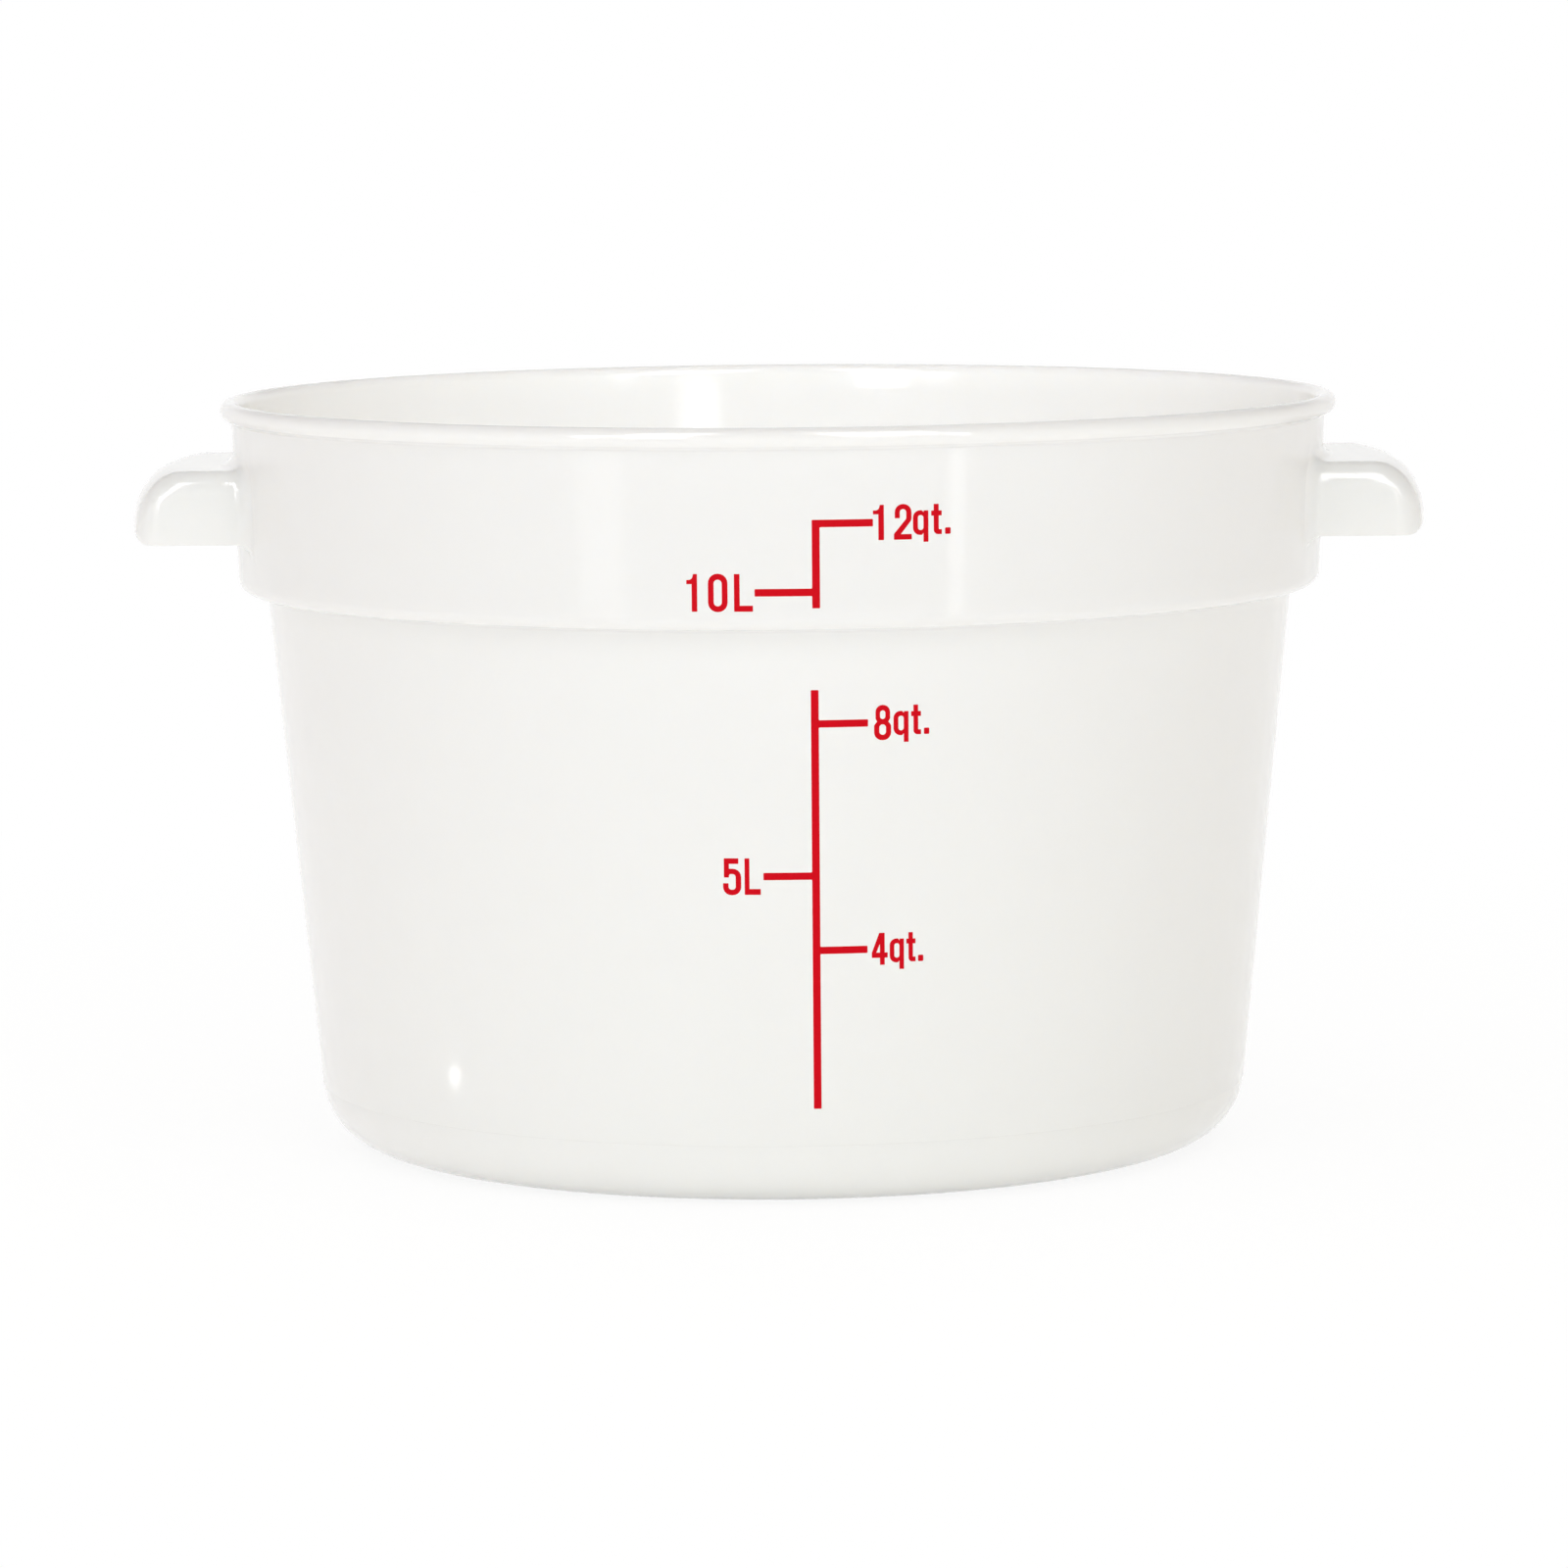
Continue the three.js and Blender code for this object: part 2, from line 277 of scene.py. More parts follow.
def rounded_curve(tree, corner_line, spacing):
    line = add_node(tree, "GeometryNodeMeshToCurve", {"Mesh": corner_line})
    radius = add_node(tree, "GeometryNodeInputNamedAttribute", {"Name": "round"}, data_type="FLOAT")
    steps = add_node(tree, "GeometryNodeInputNamedAttribute", {"Name": "steps"}, data_type="INT")
    fillet = add_node(tree, "GeometryNodeFilletCurve", {
        "Curve": line.outputs["Curve"],
        "Radius": radius.outputs["Attribute"],
        "Count": steps.outputs["Attribute"],
    }, mode="POLY")
    here = add_node(tree, "GeometryNodeInputPosition").outputs["Position"]
    following = add_node(tree, "GeometryNodeOffsetPointInCurve", {"Offset": 1})
    there = add_node(tree, "GeometryNodeFieldAtIndex", {
        "Index": following.outputs["Point Index"],
        "Value": here,
    }, data_type="FLOAT_VECTOR", domain="POINT")
    span = add_node(tree, "ShaderNodeVectorMath", {0: here, 1: there.outputs["Value"]}, operation="DISTANCE")
    cuts = add_node(tree, "ShaderNodeMath", {0: span.outputs["Value"], 1: spacing}, operation="DIVIDE")
    divided = add_node(tree, "GeometryNodeSubdivideCurve", {
        "Curve": fillet.outputs["Curve"],
        "Cuts": cuts.outputs["Value"],
    })
    return divided.outputs["Curve"]


weld = 0.001 * MM
path_radius = 100 * MM
turned, given = new_tree("Turned section", Segments="Int", Ring_spacing="Float", Finish="Material")
section_curve = rounded_curve(turned, given["Geometry"], given["Ring spacing"])
centred = add_node(turned, "GeometryNodeTransform", {
    "Geometry": section_curve, "Translation": (-path_radius, 0, 0),
})
path = add_node(turned, "GeometryNodeCurvePrimitiveCircle", {
    "Resolution": given["Segments"], "Radius": path_radius,
})
swept = add_node(turned, "GeometryNodeCurveToMesh", {
    "Curve": path.outputs["Curve"],
    "Profile Curve": centred.outputs["Geometry"],
})
closed = add_node(turned, "GeometryNodeMergeByDistance", {"Geometry": swept.outputs["Mesh"], "Distance": weld})
outward = add_node(turned, "GeometryNodeFlipFaces", {"Mesh": closed.outputs["Geometry"]})
smooth = add_node(turned, "GeometryNodeSetShadeSmooth", {"Geometry": outward.outputs["Mesh"]})
real = add_node(turned, "GeometryNodeRealizeInstances", {"Geometry": smooth.outputs["Geometry"]})
coated = add_node(turned, "GeometryNodeSetMaterial", {
    "Geometry": real.outputs["Geometry"], "Material": given["Finish"],
})
add_node(turned, "NodeGroupOutput", {"Geometry": coated.outputs["Geometry"]})
print("tree:", turned.name, "with", len(turned.nodes), "nodes")

# %% [markdown]
# ## From corner line to plain mesh
# A piece starts as a line of corners in a plane. The helpers below store the attributes, run a tree on the
# line with its inputs set by their socket identifiers, and keep the result as a plain mesh without the
# modifier.

# %% Corner lines and the tree runner
def corner_line(name, loops, closed):
    mesh = bpy.data.meshes.new(name)
    points = [corner for loop in loops for corner in loop]
    edges = []
    first = 0
    for loop in loops:
        count = len(loop)
        edges += [(first + i, first + (i + 1) % count) for i in range(count if closed else count - 1)]
        first += count
    mesh.from_pydata([(x, y, 0) for x, y, _, _ in points], edges, [])
    mesh.attributes.new("round", "FLOAT", "POINT").data.foreach_set("value", [p[2] for p in points])
    mesh.attributes.new("steps", "INT", "POINT").data.foreach_set("value", [p[3] for p in points])
    return mesh


def run_tree(mesh, tree, **values):
    piece = bpy.data.objects.new(mesh.name, mesh)
    bpy.context.scene.collection.objects.link(piece)
    nodes = piece.modifiers.new(tree.name, "NODES")
    nodes.node_group = tree
    for item in tree.interface.items_tree:
        label = item.name.replace(" ", "_")
        if item.in_out == "INPUT" and label in values:
            nodes[item.identifier] = values[label]
    evaluated = piece.evaluated_get(bpy.context.evaluated_depsgraph_get())
    result = bpy.data.meshes.new_from_object(evaluated)
    piece.modifiers.remove(nodes)
    piece.data = result
    bpy.data.meshes.remove(mesh)
    return piece


# %% Turn the shell
turn_segments = 256
ring_spacing = 6 * MM
tub = run_tree(
    corner_line("tub_moulding", [[(r, -z, rounding, steps) for r, z, rounding, steps in section]], closed=False),
    turned, Segments=turn_segments, Ring_spacing=ring_spacing, Finish=polypropylene,
)
shell_heights = [vertex.co.z / MM for vertex in tub.data.vertices]
print(f"shell: {len(shell_heights)} vertices, {min(shell_heights):.3f} to {max(shell_heights):.3f} mm high")

# %% [markdown]
# ## Hollow grips
# Each grip is a hollow box that grows out of the collar: filleted at its root, bowed in plan, rounded at its
# nose and open below, so that fingers fit in it and the mould can be pulled out. It is lofted from arches.
# Each arch has upright sides, rounded upper edges and a flat underside, and a smaller loft of the same rule is
# cut away for the hollow.

# %% Rules of a grip
grip_top = height - 18.1 * MM
grip_bottom = grip_top - 20.6 * MM
grip_half = 46 * MM
grip_reach = 29 * MM
grip_wall = 2.4 * MM
grip_edge = 6 * MM
grip_nose_length = 13 * MM
grip_nose_height = 16.5 * MM
grip_heel = 3.2 * MM
grip_root = 4 * MM
grip_bow = 250 * MM
grip_sink = 0.06 * MM
grip_anchor = 1.5 * MM
hollow_drop = 20 * MM
arch_edge_share = 0.6


def fall_away(distance, radius):
    past = min(max(distance, 0), radius)
    return radius - sqrt(radius ** 2 - past ** 2)


def grip_point(out, y, z):
    share = min(max(out / grip_reach, 0), 1)
    on_collar = sqrt(collar_radius(z) ** 2 - y ** 2)
    on_nose = collar_radius(grip_bottom) - y ** 2 / (2 * grip_bow)
    return Vector((on_collar + (on_nose - on_collar) * share + out, y, z))


def spread(low, high, steps):
    return [low + (high - low) * i / steps for i in range(steps + 1)]


def arch(out, half, top, bottom, edge, edge_steps=8, span_steps=24, side_steps=3):
    rounding = min(edge, arch_edge_share * (top - bottom))
    flat = half - rounding
    spring = top - rounding
    right = [(flat + rounding * cos(a), spring + rounding * sin(a)) for a in spread(0, pi / 2, edge_steps)]
    left = [(-y, z) for y, z in right[::-1]]
    across = [(y, top) for y in spread(flat, -flat, span_steps)[1:-1]]
    below = [(y, bottom) for y in spread(-half, half, span_steps)]
    sides = spread(bottom, spring, side_steps)[1:-1]
    outline = [(half, z) for z in sides] + right + across + left + [(-half, z) for z in sides[::-1]] + below
    return [grip_point(out, y, z) for y, z in outline]


def grip_arches(inset, root_steps=8, reach_steps=5, nose_steps=14):
    hollow = inset > 0
    half, top, reach = grip_half - inset, grip_top - inset, grip_reach - inset
    edge = grip_edge - inset
    bottom = grip_bottom - hollow_drop if hollow else grip_bottom
    heel = 0 if hollow else grip_heel
    flare = 0 if hollow else grip_root
    rings = [(-grip_anchor - inset, half + flare, top + flare, bottom - flare, edge + flare)]
    for angle in spread(0, pi / 2, root_steps):
        out = grip_root * (1 - cos(angle)) - grip_sink
        more = flare * (1 - sin(angle))
        rings.append((out, half + more, top + more, bottom - more, edge + more))
    nose_start = reach - (grip_nose_length - inset)
    rings += [(out, half, top, bottom, edge) for out in spread(rings[-1][0], nose_start, reach_steps)[1:-1]]
    for angle in spread(0, pi / 2, nose_steps):
        out = reach - (grip_nose_length - inset) * (1 - sin(angle))
        rings.append((
            out,
            half - fall_away(out - (reach - edge), edge),
            top - (grip_nose_height - inset) * (1 - cos(angle)),
            bottom + fall_away(out - (reach - heel), heel),
            edge,
        ))
    return [arch(*ring) for ring in rings]


grip_end = grip_point(grip_reach, 0, grip_bottom).x
print(f"grip: its top is {grip_top / MM:.1f} mm high, its nose {grip_end / MM:.1f} mm from the axis")

# %% [markdown]
# ## Joining the grips to the shell
# In the mould the grips and the wall are one space, so here they become one closed mesh. The loft skins its
# arches with quads and closes both ends, and exact Booleans cut the hollow and join the grip. The second grip
# is the first one turned half round.

# %% Loft and join the grips
def loft(name, rings):
    mesh = bpy.data.meshes.new(name)
    count = len(rings[0])
    faces = [
        (r * count + i, r * count + (i + 1) % count, (r + 1) * count + (i + 1) % count, (r + 1) * count + i)
        for r in range(len(rings) - 1) for i in range(count)
    ]
    last = (len(rings) - 1) * count
    faces += [tuple(range(count))[::-1], tuple(range(last, last + count))]
    mesh.from_pydata([point for ring in rings for point in ring], [], faces)
    shape = bmesh.new()
    shape.from_mesh(mesh)
    bmesh.ops.remove_doubles(shape, verts=shape.verts, dist=weld)
    bmesh.ops.recalc_face_normals(shape, faces=shape.faces)
    caps = [face for face in shape.faces if len(face.verts) > 4]
    bmesh.ops.triangulate(shape, faces=caps, ngon_method="BEAUTY")
    shape.to_mesh(mesh)
    shape.free()
    mesh.shade_smooth()
    mesh.materials.append(polypropylene)
    piece = bpy.data.objects.new(name, mesh)
    bpy.context.scene.collection.objects.link(piece)
    return piece


def combine(piece, other, operation):
    boolean = piece.modifiers.new(operation, "BOOLEAN")
    boolean.object = other
    boolean.operation = operation
    boolean.solver = "EXACT"
    evaluated = piece.evaluated_get(bpy.context.evaluated_depsgraph_get())
    result = bpy.data.meshes.new_from_object(evaluated)
    piece.modifiers.remove(boolean)
    piece.data = result
    bpy.data.objects.remove(other)


crease_angle = radians(35)
for turn in (0, pi):
    grip = loft("grip", grip_arches(0))
    hollow = loft("hollow", grip_arches(grip_wall))
    combine(grip, hollow, "DIFFERENCE")
    grip.data.transform(Matrix.Rotation(turn, 4, "Z"))
    combine(tub, grip, "UNION")
tub.data.shade_smooth()
tub.data.set_sharp_from_angle(angle=crease_angle)
print("tub with grips:", len(tub.data.polygons), "faces")

# %% [markdown]
# ## Printing on a cone
# Screen printing wraps flat artwork on the wall. The tree below does the same: it rounds the artwork's corners
# a little as wet ink does, fills the outlines, gives the film its thickness and moves every point on to the
# cone.

# %% Geometry Nodes: printed film
printed, given = new_tree(
    "Printed film",
    Chord="Float", Radius_at_zero="Float", Slope="Float", Lift="Float", Thickness="Float", Finish="Material",
)
outline = rounded_curve(printed, given["Geometry"], given["Chord"])
fill = add_node(printed, "GeometryNodeFillCurve", {"Curve": outline})
raise_film = add_node(printed, "ShaderNodeCombineXYZ", {"Z": given["Thickness"]})
film_top = add_node(printed, "GeometryNodeExtrudeMesh", {
    "Mesh": fill.outputs["Mesh"],
    "Offset": raise_film.outputs["Vector"],
    "Individual": False,
})
underside = add_node(printed, "GeometryNodeFlipFaces", {"Mesh": fill.outputs["Mesh"]})
both = add_node(printed, "GeometryNodeJoinGeometry", {"Geometry": film_top.outputs["Mesh"]})
printed.links.new(underside.outputs["Mesh"], both.inputs["Geometry"])
sealed = add_node(printed, "GeometryNodeMergeByDistance", {
    "Geometry": both.outputs["Geometry"], "Distance": weld,
})
flat_place = add_node(printed, "GeometryNodeInputPosition").outputs["Position"]
at = add_node(printed, "ShaderNodeSeparateXYZ", {"Vector": flat_place})
taper = add_node(printed, "ShaderNodeMath", {
    0: at.outputs["Y"], 1: given["Slope"], 2: given["Radius at zero"],
}, operation="MULTIPLY_ADD")
level = add_node(printed, "ShaderNodeMath", {0: at.outputs["Z"], 1: given["Lift"]}, operation="ADD")
radius = add_node(printed, "ShaderNodeMath", {0: taper.outputs[0], 1: level.outputs[0]}, operation="ADD")
squared = add_node(printed, "ShaderNodeMath", {0: radius.outputs[0], 1: 2.0}, operation="POWER")
sideways = add_node(printed, "ShaderNodeMath", {0: at.outputs["X"], 1: 2.0}, operation="POWER")
depth = add_node(printed, "ShaderNodeMath", {
    0: squared.outputs[0], 1: sideways.outputs[0],
}, operation="SUBTRACT")
back = add_node(printed, "ShaderNodeMath", {0: depth.outputs[0]}, operation="SQRT")
front = add_node(printed, "ShaderNodeMath", {0: back.outputs[0], 1: -1.0}, operation="MULTIPLY")
on_wall = add_node(printed, "ShaderNodeCombineXYZ", {
    "X": at.outputs["X"], "Y": front.outputs[0], "Z": at.outputs["Y"],
})
wrapped = add_node(printed, "GeometryNodeSetPosition", {
    "Geometry": sealed.outputs["Geometry"], "Position": on_wall.outputs["Vector"],
})
real = add_node(printed, "GeometryNodeRealizeInstances", {"Geometry": wrapped.outputs["Geometry"]})
coated = add_node(printed, "GeometryNodeSetMaterial", {
    "Geometry": real.outputs["Geometry"], "Material": given["Finish"],
})
add_node(printed, "NodeGroupOutput", {"Geometry": coated.outputs["Geometry"]})
print("tree:", printed.name, "with", len(printed.nodes), "nodes")

# %% [markdown]
# ## The scale's lines and ticks
# Each block of the scale is one outline: an upright line with ticks to the right for quarts and to the left
# for litres. The tick heights are those of the CAD part, where they follow from the volume inside. A film this
# thin throws no shadow that an eye could see, and its shadow would show through the milky wall as a stain, so
# the film is left out of shadow and diffuse rays.

# %% Lines and ticks
ink_round = 0.25 * MM
line_half = 1.05 * MM
tick_half = 1 * MM
upper_line_x = 9.8 * MM
upper_line_tail = 4.3 * MM
lower_line_x = 9.25 * MM
lower_line_foot = 28 * MM
lower_line_head = 9.2 * MM
levels = {
    "12 qt": 188.4 * MM, "10 L": 170.09 * MM, "8 qt": 133.81 * MM, "5 L": 92.3 * MM, "4 qt": 71.82 * MM,
}
tick_reach = {
    "12 qt": 14.2 * MM, "10 L": -15.3 * MM, "8 qt": 13.2 * MM, "5 L": -13.1 * MM, "4 qt": 12.7 * MM,
}


def scale_outline(line_x, low, high, marks):
    right = [(line_x + line_half, low)]
    left = [(line_x - line_half, high)]
    for mark in marks:
        reach = tick_reach[mark]
        side = right if reach > 0 else left
        edge = line_x + (line_half if reach > 0 else -line_half)
        span = [levels[mark] - tick_half, levels[mark] + tick_half]
        span = span if reach > 0 else span[::-1]
        side += [(edge, span[0]), (edge + reach, span[0]), (edge + reach, span[1]), (edge, span[1])]
    right = right if right[-1] == (line_x + line_half, high) else right + [(line_x + line_half, high)]
    outline = right + left + [(line_x - line_half, low)]
    return [(x, z, ink_round, 3) for x, z in outline]


film_chord = 1.5 * MM
film_lift = 0.01 * MM
film_thickness = 0.06 * MM
slope_span = 100 * MM


def print_on(radius_at, name, loops):
    base = radius_at(0)
    film = run_tree(
        corner_line(name, loops, closed=True), printed,
        Chord=film_chord, Radius_at_zero=base, Slope=(radius_at(slope_span) - base) / slope_span,
        Lift=film_lift, Thickness=film_thickness, Finish=red_ink,
    )
    film.visible_shadow = False
    film.visible_diffuse = False
    return film


upper_line = scale_outline(
    upper_line_x, levels["10 L"] - upper_line_tail, levels["12 qt"] + tick_half, ["10 L", "12 qt"],
)
lower_line = scale_outline(
    lower_line_x, lower_line_foot, levels["8 qt"] + lower_line_head, ["4 qt", "5 L", "8 qt"],
)
upper_scale = print_on(collar_radius, "upper_scale_ink", [upper_line])
lower_scale = print_on(body_radius, "lower_scale_ink", [lower_line])
print("scale films:", len(upper_scale.data.polygons), len(lower_scale.data.polygons), "faces")

# %% [markdown]
# ## The scale's figures
# The figures are plain bold narrow numerals. Each outline is drawn here as a few corners with roundings, on a
# body ten units high for figures and the litre sign. The first outline of a sign is its edge and the others
# are its holes.

# %% Outlines of the figures
def rounded_box(left, low, right, high, rounding):
    return [(left, low, rounding), (right, low, rounding), (right, high, rounding), (left, high, rounding)]


figures = {
    "0": [rounded_box(0, -0.1, 5.15, 10.1, 2.5), rounded_box(1.42, 1.35, 3.7, 8.6, 1.1)],
    "1": [[
        (1.45, 0, 0.1), (2.87, 0, 0.1), (2.87, 10, 0.1), (1.85, 10, 0.1),
        (1.5, 8.4, 1.2), (0, 8.4, 0.1), (0, 7.4, 0.1), (1.45, 7.4, 0.1),
    ]],
    "2": [[
        (0, 0, 0.1), (5, 0, 0.1), (5, 1.45, 0.1), (1.8, 1.45, 0.1), (4.95, 5.5, 1.8), (4.95, 10.1, 2.3),
        (0.25, 10.1, 2.3), (0.25, 6.15, 0.1), (1.6, 6.15, 0.1), (1.6, 8.75, 0.95), (3.55, 8.75, 0.95),
        (3.55, 5.9, 1.0), (0, 1.6, 0.8),
    ]],
    "4": [[
        (2.53, 0, 0.1), (3.9, 0, 0.1), (3.9, 2.25, 0.1), (4.82, 2.25, 0.1), (4.82, 3.77, 0.1),
        (3.9, 3.77, 0.1), (3.9, 10, 0.1), (2.3, 10, 0.1), (0, 3.8, 0.1), (0, 2.25, 0.1), (2.53, 2.25, 0.1),
    ], [
        (1.25, 3.77, 0.1), (2.53, 3.77, 0.1), (2.53, 6.9, 0.1),
    ]],
    "5": [[
        (1.5, 8.58, 0.1), (1.5, 7.1, 0.1), (4.75, 7.1, 2.2), (4.75, -0.1, 2.2), (0, -0.1, 2.2), (0, 3.1, 0.1),
        (1.35, 3.1, 0.1), (1.35, 1.3, 0.9), (3.4, 1.3, 0.9), (3.4, 5.75, 0.9), (1.5, 5.75, 0.5),
        (1.5, 4.8, 0.1), (0.25, 4.8, 0.1), (0.25, 10, 0.1), (4.05, 10, 0.1), (4.05, 8.58, 0.1),
    ]],
    "8": [[
        (0, -0.1, 2.2), (4.78, -0.1, 2.2), (4.78, 4.2, 1.0), (4.0, 5.25, 0.2), (4.5, 6.2, 0.9),
        (4.5, 10.1, 2.0), (0.42, 10.1, 2.0), (0.42, 6.2, 0.9), (0.85, 5.25, 0.2), (0, 4.2, 1.0),
    ], rounded_box(1.38, 1.35, 3.42, 4.5, 0.98), rounded_box(1.62, 5.95, 3.26, 8.6, 0.8)],
    "L": [[(0, 0, 0.1), (4.9, 0, 0.1), (4.9, 1.5, 0.1), (1.4, 1.5, 0.1), (1.4, 10, 0.1), (0, 10, 0.1)]],
    "q": [[
        (4.3, 6.8, 0.1), (3.1, 6.8, 0.1), (3.0, 6.2, 0.1), (2.5, 6.9, 0.5), (0, 6.9, 2.0), (0, -0.1, 2.0),
        (2.5, -0.1, 0.5), (3.0, 0.6, 0.1), (3.0, -2.1, 0.1), (4.3, -2.1, 0.1),
    ], rounded_box(1.3, 1.2, 3.0, 5.6, 0.8)],
    "t": [[
        (0.7, 0, 1.2), (2.85, 0, 0.1), (2.85, 1.3, 0.1), (2.0, 1.3, 0.3), (2.0, 5.35, 0.1), (2.85, 5.35, 0.1),
        (2.85, 6.7, 0.1), (2.0, 6.7, 0.1), (2.0, 8.6, 0.1), (0.7, 8.6, 0.1), (0.7, 6.7, 0.1), (0, 6.7, 0.1),
        (0, 5.35, 0.1), (0.7, 5.35, 0.1),
    ]],
    ".": [rounded_box(0, 0, 1.5, 1.75, 0.3)],
}
print("signs drawn:", " ".join(figures))

# %% [markdown]
# ## Setting the figures
# Wet ink creeps a little past the edge of the stencil, so every outline is grown by that much: edges outwards
# and holes inwards. A line of figures is then set at its mark's height. Each sign is named with the two
# distances in millimetres, from the middle of the front, between which it stands.

# %% Set the figures
body_units = 10
letter_height = 9.3 * MM
figure_steps = 5
ink_creep = 0.06 * MM


def width_of(sign):
    return max(x for x, _, _ in figures[sign][0])


def grown(loop, hole):
    ends = loop[1:] + loop[:1]
    area = sum(x * next_z - next_x * z for (x, z, *_), (next_x, next_z, *_) in zip(loop, ends))
    loop = loop if (area < 0) == hole else loop[::-1]
    moved = []
    for index, (x, z, rounding, steps) in enumerate(loop):
        before = loop[index - 1]
        after = loop[(index + 1) % len(loop)]
        come = Vector((x - before[0], z - before[1])).normalized()
        leave = Vector((after[0] - x, after[1] - z)).normalized()
        out = Vector((come.y + leave.y, -come.x - leave.x))
        out *= 2 * ink_creep / out.length_squared
        rounding += ink_creep if come.cross(leave) > 0 else -ink_creep
        moved.append((x + out.x, z + out.y, max(rounding, 0), steps))
    return moved


def set_line(mark, tall, raised, layout):
    loops = []
    for sign, left, right in layout:
        lift = raised if sign in "qt." else 0
        unit = letter_height / body_units if sign in "qt." else tall / body_units
        stretch = (right - left) * MM / width_of(sign)
        low = levels[mark] - tall / 2 + lift
        for number, loop in enumerate(figures[sign]):
            placed = [
                (left * MM + x * stretch, low + z * unit, rounding * min(stretch, unit), figure_steps)
                for x, z, rounding in loop
            ]
            loops.append(grown(placed, hole=number > 0))
    return loops


upper_figures = print_on(collar_radius, "upper_scale_figures", [
    *set_line("12 qt", 9.3 * MM, 1.2 * MM, [
        ("1", 25.1, 27.9), ("2", 30.65, 35.3), ("q", 35.75, 39.75), ("t", 40.63, 43.33), (".", 44.3, 45.7),
    ]),
    *set_line("10 L", 9.95 * MM, 0, [("1", -24.6, -21.85), ("0", -18.86, -13.76), ("L", -11.95, -7.05)]),
])
lower_figures = print_on(body_radius, "lower_scale_figures", [
    *set_line("8 qt", 9.3 * MM, 1.2 * MM, [
        ("8", 25.17, 29.62), ("q", 30.39, 34.32), ("t", 35.14, 37.68), (".", 38.57, 39.9),
    ]),
    *set_line("5 L", 9.9 * MM, 0, [("5", -15.7, -10.95), ("L", -9.9, -5.7)]),
    *set_line("4 qt", 8.7 * MM, 0.6 * MM, [
        ("4", 24.2, 28.38), ("q", 29.04, 32.78), ("t", 33.54, 35.93), (".", 36.7, 38.04),
    ]),
])
print("figure films:", len(upper_figures.data.polygons), len(lower_figures.data.polygons), "faces")

# %% [markdown]
# ## Seating the pieces in the frame
# Nothing moves on a tub, so every piece rides on the one CAD body. The moulding and the two blocks of the
# scale stand for their CAD nodes, and the figures are ink that the CAD part leaves out.

# %% Ride on the frame
for piece, slot in (
    (tub, "polypropylene"),
    (upper_scale, "red_ink"),
    (lower_scale, "red_ink"),
    (upper_figures, "red_ink"),
    (lower_figures, "red_ink"),
):
    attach(piece, "root")
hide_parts("tub")
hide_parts("upper_scale_print")
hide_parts("lower_scale_print")
print("pieces:", tub.name, upper_scale.name, lower_scale.name, upper_figures.name, lower_figures.name)

# %% [markdown]
# ## Floor
# The tub stands on a plain white sweep of paper. To the camera, and in reflections, the paper is nearly pure
# white and still takes the tub's soft shadow close to the foot. To all other light it is plain pale paper. It
# lies a hair below the foot, because two faces in one plane can't tell which of them is on top.

# %% Floor
def seen_rays(tree):
    rays = add_node(tree, "ShaderNodeLightPath")
    seen = rays.outputs["Is Camera Ray"]
    for kind in ("Is Glossy Ray", "Is Transmission Ray"):
        seen = add_node(tree, "ShaderNodeMath", {0: seen, 1: rays.outputs[kind]}, operation="MAXIMUM").outputs[0]
    return seen


floor_half = 60
floor_level = -0.05 * MM
shadow_end = 0.8
floor_corners = [
    (x * floor_half, y * floor_half, floor_level) for x, y in ((-1, -1), (1, -1), (1, 1), (-1, 1))
]
floor_mesh = bpy.data.meshes.new("floor")
floor_mesh.from_pydata(floor_corners, [], [(0, 1, 2, 3)])
floor = bpy.data.objects.new("floor", floor_mesh)
bpy.context.scene.collection.objects.link(floor)
white_sweep, tree = new_material("White sweep")
seen = seen_rays(tree)
paper = add_node(tree, "ShaderNodeBsdfDiffuse", {"Color": linear("#f4f4f2")})
glow = add_node(tree, "ShaderNodeEmission", {"Color": linear("#ffffff"), "Strength": 1.0})
place = add_node(tree, "ShaderNodeTexCoord").outputs["Object"]
distance = add_node(tree, "ShaderNodeVectorMath", {0: place}, operation="LENGTH")
whiteness = add_node(tree, "ShaderNodeMapRange", {
    "Value": distance.outputs["Value"], "From Min": 0.15, "From Max": shadow_end, "To Min": 0.9, "To Max": 1.0,
}, interpolation_type="SMOOTHSTEP")
share = add_node(tree, "ShaderNodeMath", {0: seen, 1: whiteness.outputs[0]}, operation="MULTIPLY")
surface = add_node(tree, "ShaderNodeMixShader", {0: share.outputs[0], 1: paper.outputs[0], 2: glow.outputs[0]})
add_node(tree, "ShaderNodeOutputMaterial", {"Surface": surface.outputs[0]})
floor_mesh.materials.append(white_sweep)
print(f"floor: {floor_level / MM} mm below the foot, all white {shadow_end} m from the middle")

# %% [markdown]
# ## Studio lamps
# A product photographer lights a glossy white tub with large soft boxes, because a glossy skin shows the shape
# of every lamp. Each lamp here is placed by the direction in which it is seen from the tub, with azimuth 0 in
# front and degrees to the right, and its power is worked out from the radiance that a reflection of it shows.
# The boxes and strips give light. The cards are seen only in reflections: they draw the bright lines on the
# rim, the grips and the collar, and add no light to the plastic. The glint lamp stands below the floor's
# level, as a lamp mirrored in a polished table top would, and makes one glint low on the body.

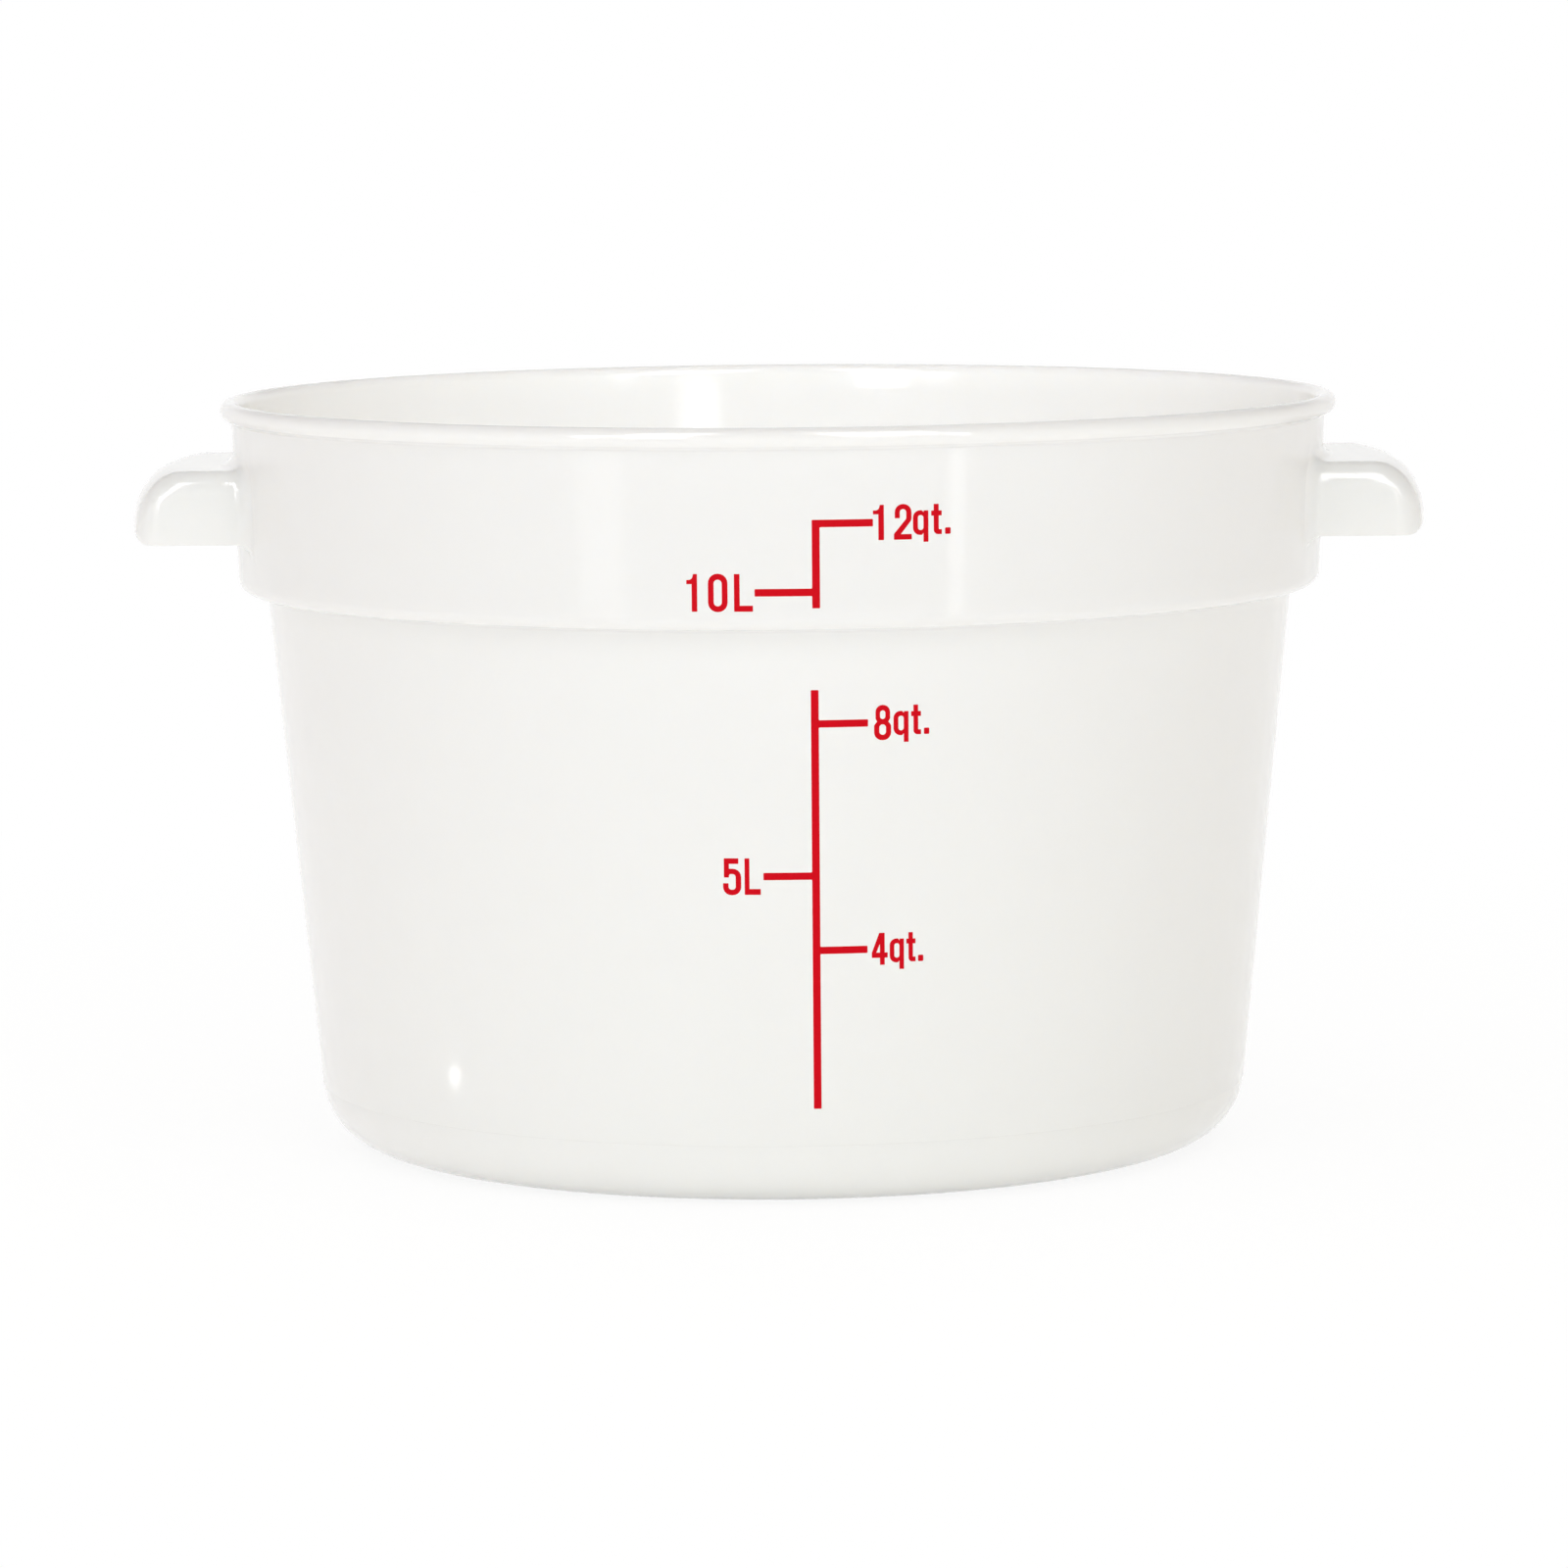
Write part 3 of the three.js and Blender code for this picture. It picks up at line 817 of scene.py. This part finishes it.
# %% Lamps
def softbox(name, azimuth, elevation, width, tall, radiance, distance=2.0):
    lamp = bpy.data.lights.new(name, "AREA")
    lamp.shape = "RECTANGLE"
    lamp.size = width
    lamp.size_y = tall
    lamp.energy = radiance * pi * width * tall
    light = bpy.data.objects.new(name, lamp)
    bpy.context.scene.collection.objects.link(light)
    turn = Matrix.Rotation(radians(azimuth), 4, "Z")
    tilt = Matrix.Rotation(-radians(elevation), 4, "X")
    outward = turn @ tilt @ Vector((0, -1, 0))
    light.location = Vector((0, 0, height / 2)) + outward * distance
    light.rotation_euler = (-outward).to_track_quat("-Z", "Y").to_euler()
    light.visible_camera = False
    return light


softbox("left softbox", azimuth=-24.7, elevation=39, width=0.47, tall=0.9, radiance=1.8)
softbox("right softbox", azimuth=19.6, elevation=39, width=0.67, tall=0.9, radiance=1.8)
strips = [
    softbox("left strip", azimuth=-35.7, elevation=12, width=0.35, tall=1.8, radiance=0.9),
    softbox("right strip", azimuth=35.8, elevation=12, width=0.12, tall=1.8, radiance=1.6),
]
far_wall_lamp = softbox(
    "far wall lamp", azimuth=19, elevation=3, width=0.35, tall=0.4, radiance=2.2, distance=2.2,
)
floor_lamp = softbox("floor lamp", azimuth=0, elevation=90, width=3, tall=3, radiance=1.1)
glint_lamp = softbox(
    "glint lamp", azimuth=-72.6, elevation=-22.8, width=0.02, tall=0.004, radiance=8, distance=0.376,
)
cards = [
    softbox("left card", azimuth=-25, elevation=37, width=0.42, tall=1.4, radiance=7),
    softbox("left low card", azimuth=-24, elevation=10, width=0.4, tall=0.6, radiance=7),
    softbox("right card", azimuth=22, elevation=35, width=0.67, tall=1.6, radiance=6),
    softbox("left strip card", azimuth=-37.6, elevation=18, width=0.2, tall=0.7, radiance=8),
    softbox("right strip card", azimuth=35.8, elevation=18, width=0.14, tall=0.7, radiance=8),
]
for card in cards:
    card.visible_diffuse = False
print("reflection cards:", len(cards))

# %% [markdown]
# ## What each lamp may light
# Light linking does what flags and barn doors do in a studio. The floor lamp lights the floor alone, which
# passes its light up to the base. The floor doesn't hold back the strips and the glint lamp, which reach below
# it, and the near wall of the tub doesn't hold back the lamp for the far wall.

# %% Light linking
floor_only = bpy.data.collections.new("floor only")
floor_only.objects.link(floor)
tub_only = bpy.data.collections.new("tub only")
tub_only.objects.link(tub)
floor_lamp.light_linking.receiver_collection = floor_only
far_wall_lamp.light_linking.blocker_collection = floor_only
for lamp in [*strips, glint_lamp]:
    lamp.light_linking.blocker_collection = tub_only
print("lamps that pass the floor:", len(strips) + 1)

# %% [markdown]
# ## Light for the inside
# The wall shades the inside of a deep tub. Two narrow spots, which a photographer would make with snoots, fill
# it: one straight down through the mouth, and a wide flat one over the near rim on to the far wall.

# %% Snoots
def snoot(name, place, target, beam, softness, power, stretch=1):
    lamp = bpy.data.lights.new(name, "SPOT")
    aim = Vector(target) - Vector(place)
    lamp.energy = power
    lamp.shadow_soft_size = softness
    lamp.spot_size = 2 * atan(beam / aim.length)
    lamp.spot_blend = 0.4
    light = bpy.data.objects.new(name, lamp)
    bpy.context.scene.collection.objects.link(light)
    light.location = place
    light.rotation_euler = aim.to_track_quat("-Z", "Y").to_euler()
    light.scale.x = stretch
    light.visible_camera = False
    light.visible_glossy = False


snoot("inside snoot", place=(0, 0, 1.6), target=(0, 0, height), beam=145 * MM, softness=45 * MM, power=28)
snoot(
    "far wall snoot", place=(0, -1.9, 0.75), target=(0, 0.15, 0.19),
    beam=50 * MM, softness=5 * MM, power=36, stretch=4.2,
)
print("lamps in all:", len(bpy.data.lights))

# %% [markdown]
# ## The room
# The world is a plain room. Each side of it has its own soft grey, which shades the round wall a little darker
# and warmer towards its right edge. To the camera and in reflections the room is a white backdrop, greyer
# overhead, so that the rim stands out against it.

# %% Room
room_strength = 2.0
world = bpy.data.worlds.new("Studio")
bpy.context.scene.world = world
world.use_nodes = True
tree = world.node_tree
tree.nodes.clear()
way = add_node(tree, "ShaderNodeTexCoord").outputs["Generated"]
axes = add_node(tree, "ShaderNodeSeparateXYZ", {"Vector": way})
room_colour = linear("#b0b5b2")
for axis, start, full, colour in (
    ("Y", -0.2, 0.2, "#b8b8bf"),
    ("X", -0.3, -1.0, "#9e9592"),
    ("X", 0.3, 1.0, "#766957"),
    ("Z", 0.4, 0.8, "#868381"),
):
    share = add_node(tree, "ShaderNodeMapRange", {
        "Value": axes.outputs[axis], "From Min": start, "From Max": full,
    }, interpolation_type="SMOOTHSTEP")
    mixed = add_node(tree, "ShaderNodeMix", {
        0: share.outputs[0], 6: room_colour, 7: linear(colour),
    }, data_type="RGBA")
    room_colour = mixed.outputs[2]
room = add_node(tree, "ShaderNodeBackground", {"Color": room_colour, "Strength": room_strength})
low_share = add_node(tree, "ShaderNodeMapRange", {
    "Value": axes.outputs["Z"], "From Min": 0.4, "From Max": 0.15,
}, interpolation_type="SMOOTHSTEP")
backdrop_colour = add_node(tree, "ShaderNodeMix", {
    0: low_share.outputs[0], 6: linear("#b4b4b4"), 7: linear("#ffffff"),
}, data_type="RGBA")
backdrop = add_node(tree, "ShaderNodeBackground", {"Color": backdrop_colour.outputs[2], "Strength": 1.0})
seen = seen_rays(tree)
sky = add_node(tree, "ShaderNodeMixShader", {0: seen, 1: room.outputs[0], 2: backdrop.outputs[0]})
add_node(tree, "ShaderNodeOutputWorld", {"Surface": sky.outputs[0]})
print("room:", len(tree.nodes), "nodes")

# %% [markdown]
# ## Camera
# The photograph was taken from two metres away with a long lens, a little above the rim, and is rolled by half
# a degree.

# %% Camera
camera_place = (0.00085, -2.0051, 0.3295)
camera_dip = 0.1133
camera_roll = -0.0085
lens = bpy.data.cameras.new("camera")
lens.sensor_width = 36
lens.lens = 160.6
camera = bpy.data.objects.new("camera", lens)
bpy.context.scene.collection.objects.link(camera)
camera.matrix_world = (
    Matrix.Translation(camera_place)
    @ Matrix.Rotation(pi / 2 - camera_dip, 4, "X")
    @ Matrix.Rotation(camera_roll, 4, "Z")
)
bpy.context.scene.camera = camera
bpy.context.scene.view_settings.view_transform = "Standard"
print(f"camera: {lens.lens:.1f} mm lens, {camera.location.length:.2f} m from the foot")
